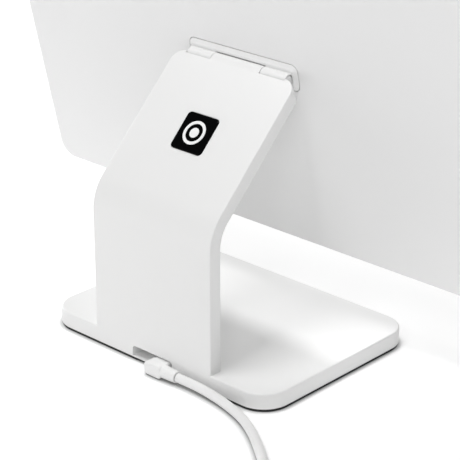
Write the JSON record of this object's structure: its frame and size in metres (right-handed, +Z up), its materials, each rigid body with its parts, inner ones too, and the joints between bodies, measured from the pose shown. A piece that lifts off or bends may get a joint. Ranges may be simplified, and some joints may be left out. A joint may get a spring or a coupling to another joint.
{
  "type": "point-of-sale touchscreen terminal",
  "caption": "Wide flat touchscreen held at the middle of its back by a friction hinge on a bent white arm, on a low weighted base with a cord plugged into its rear edge.",
  "frame": {"origin": "middle of the base's underside, on the table", "axes": "+Z up; +Y to the rear, the side with the socket; +X to the user's right as they face the glass"},
  "size_m": [0.3395, 0.2512, 0.2522],
  "materials": {
    "white_paint": "satin white powder coat",
    "white_plastic": "fine-grained satin white plastic",
    "cord_plastic": "satin white flexible plastic",
    "badge_black": "glossy black",
    "emblem_white": "white enamel",
    "rubber": "matte dark rubber",
    "steel": "satin zinc-plated steel",
    "aluminium": "matte sheet aluminium",
    "circuit_board": "green solder mask",
    "dark_plastic": "matte black plastic",
    "touch_glass": "clear glass, black behind"
  },
  "bodies": {
    "stand": {"stand_casting": "white_paint", "arm_inner_cover": "white_paint", "arm_cover_screw_1": "steel", "arm_cover_screw_2": "steel", "ballast_plate": "steel", "base_screw_1": "steel", "base_screw_2": "steel", "base_screw_3": "steel", "base_screw_4": "steel", "foot_pad": "rubber", "port_board": "circuit_board", "board_screw_1": "steel", "board_screw_2": "steel", "port_socket": "steel", "port_tongue": "dark_plastic", "badge_plate": "badge_black", "badge_ring": "emblem_white", "badge_dot": "emblem_white", "arm_lead": "dark_plastic", "hinge_pin_right": "steel", "hinge_pin_left": "steel", "plug_body": "cord_plastic", "plug_tip": "steel", "plug_relief": "cord_plastic", "charging_cord": "cord_plastic", "cord_tail": "cord_plastic", "cord_coil": "cord_plastic", "coil_tie": "rubber", "end_relief": "cord_plastic", "end_plug_body": "cord_plastic", "end_plug_tip": "steel"},
    "screen": {"hinge_mount": "white_paint", "friction_band_right": "steel", "friction_band_left": "steel", "hinge_cap_right": "white_plastic", "hinge_cap_left": "white_plastic", "rear_cover": "white_plastic", "hinge_bracket": "steel", "mount_screw_1": "steel", "mount_screw_2": "steel", "mount_screw_3": "steel", "mount_screw_4": "steel", "mid_frame": "aluminium", "frame_screw_1": "steel", "frame_screw_2": "steel", "frame_screw_3": "steel", "frame_screw_4": "steel", "backlight": "aluminium", "lcd_panel": "dark_plastic", "glass_gasket": "rubber", "touch_glass": "touch_glass", "main_board": "circuit_board", "heat_spreader": "aluminium", "speaker_right": "dark_plastic", "speaker_left": "dark_plastic", "screen_lead": "dark_plastic", "power_switch": "dark_plastic", "key_board": "circuit_board"},
    "power_button": {"power_button": "white_plastic"}
  },
  "joints": [
    {"name": "screen_tilt", "type": "hinge", "parent": "stand", "child": "screen", "pos_m": [0, -0.0083, 0.1492], "axis": [-1, 0, 0], "range_deg": [-12, 45]},
    {"name": "power_button_press", "type": "slide", "parent": "screen", "child": "power_button", "axis": [-1, 0, 0], "range_m": [0, 0.0005], "stiffness_N_per_m": 1200, "springref_m": -0.0003}
  ]
}
